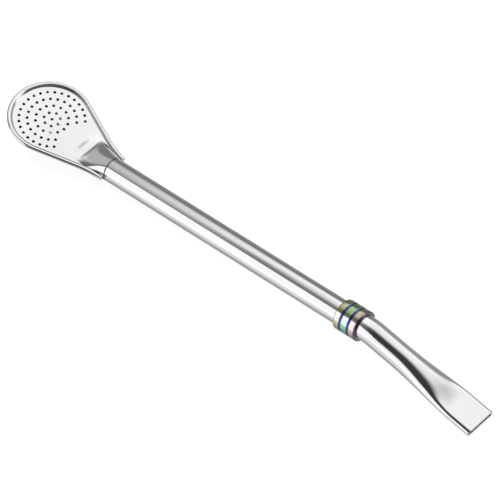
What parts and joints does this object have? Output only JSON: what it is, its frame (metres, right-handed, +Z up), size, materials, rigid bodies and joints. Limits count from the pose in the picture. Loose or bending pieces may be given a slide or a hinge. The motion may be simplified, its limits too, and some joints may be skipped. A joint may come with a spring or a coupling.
{
  "type": "bombilla",
  "caption": "Metal drinking straw with a spoon-shaped strainer head, a hemmed perforated face, a round stem with a grooved collar, and a bent, flattened mouthpiece.",
  "frame": {"origin": "on the stem's axis, at the seam between the strainer's neck and the tube", "axes": "+X along the stem towards the mouthpiece, +Z up on the side that the perforated face looks to"},
  "size_m": [0.1888, 0.0272, 0.0236],
  "materials": {
    "face_steel": "polished stainless sheet",
    "back_steel": "polished stainless sheet",
    "tube_steel": "polished stainless tube",
    "collar_coating": "rainbow coating in green, blue and violet bands"
  },
  "bodies": {
    "root": {"strainer_face": "face_steel", "strainer_back": "back_steel", "stem_tube": "tube_steel", "collar_ring": "collar_coating"}
  },
  "joints": []
}
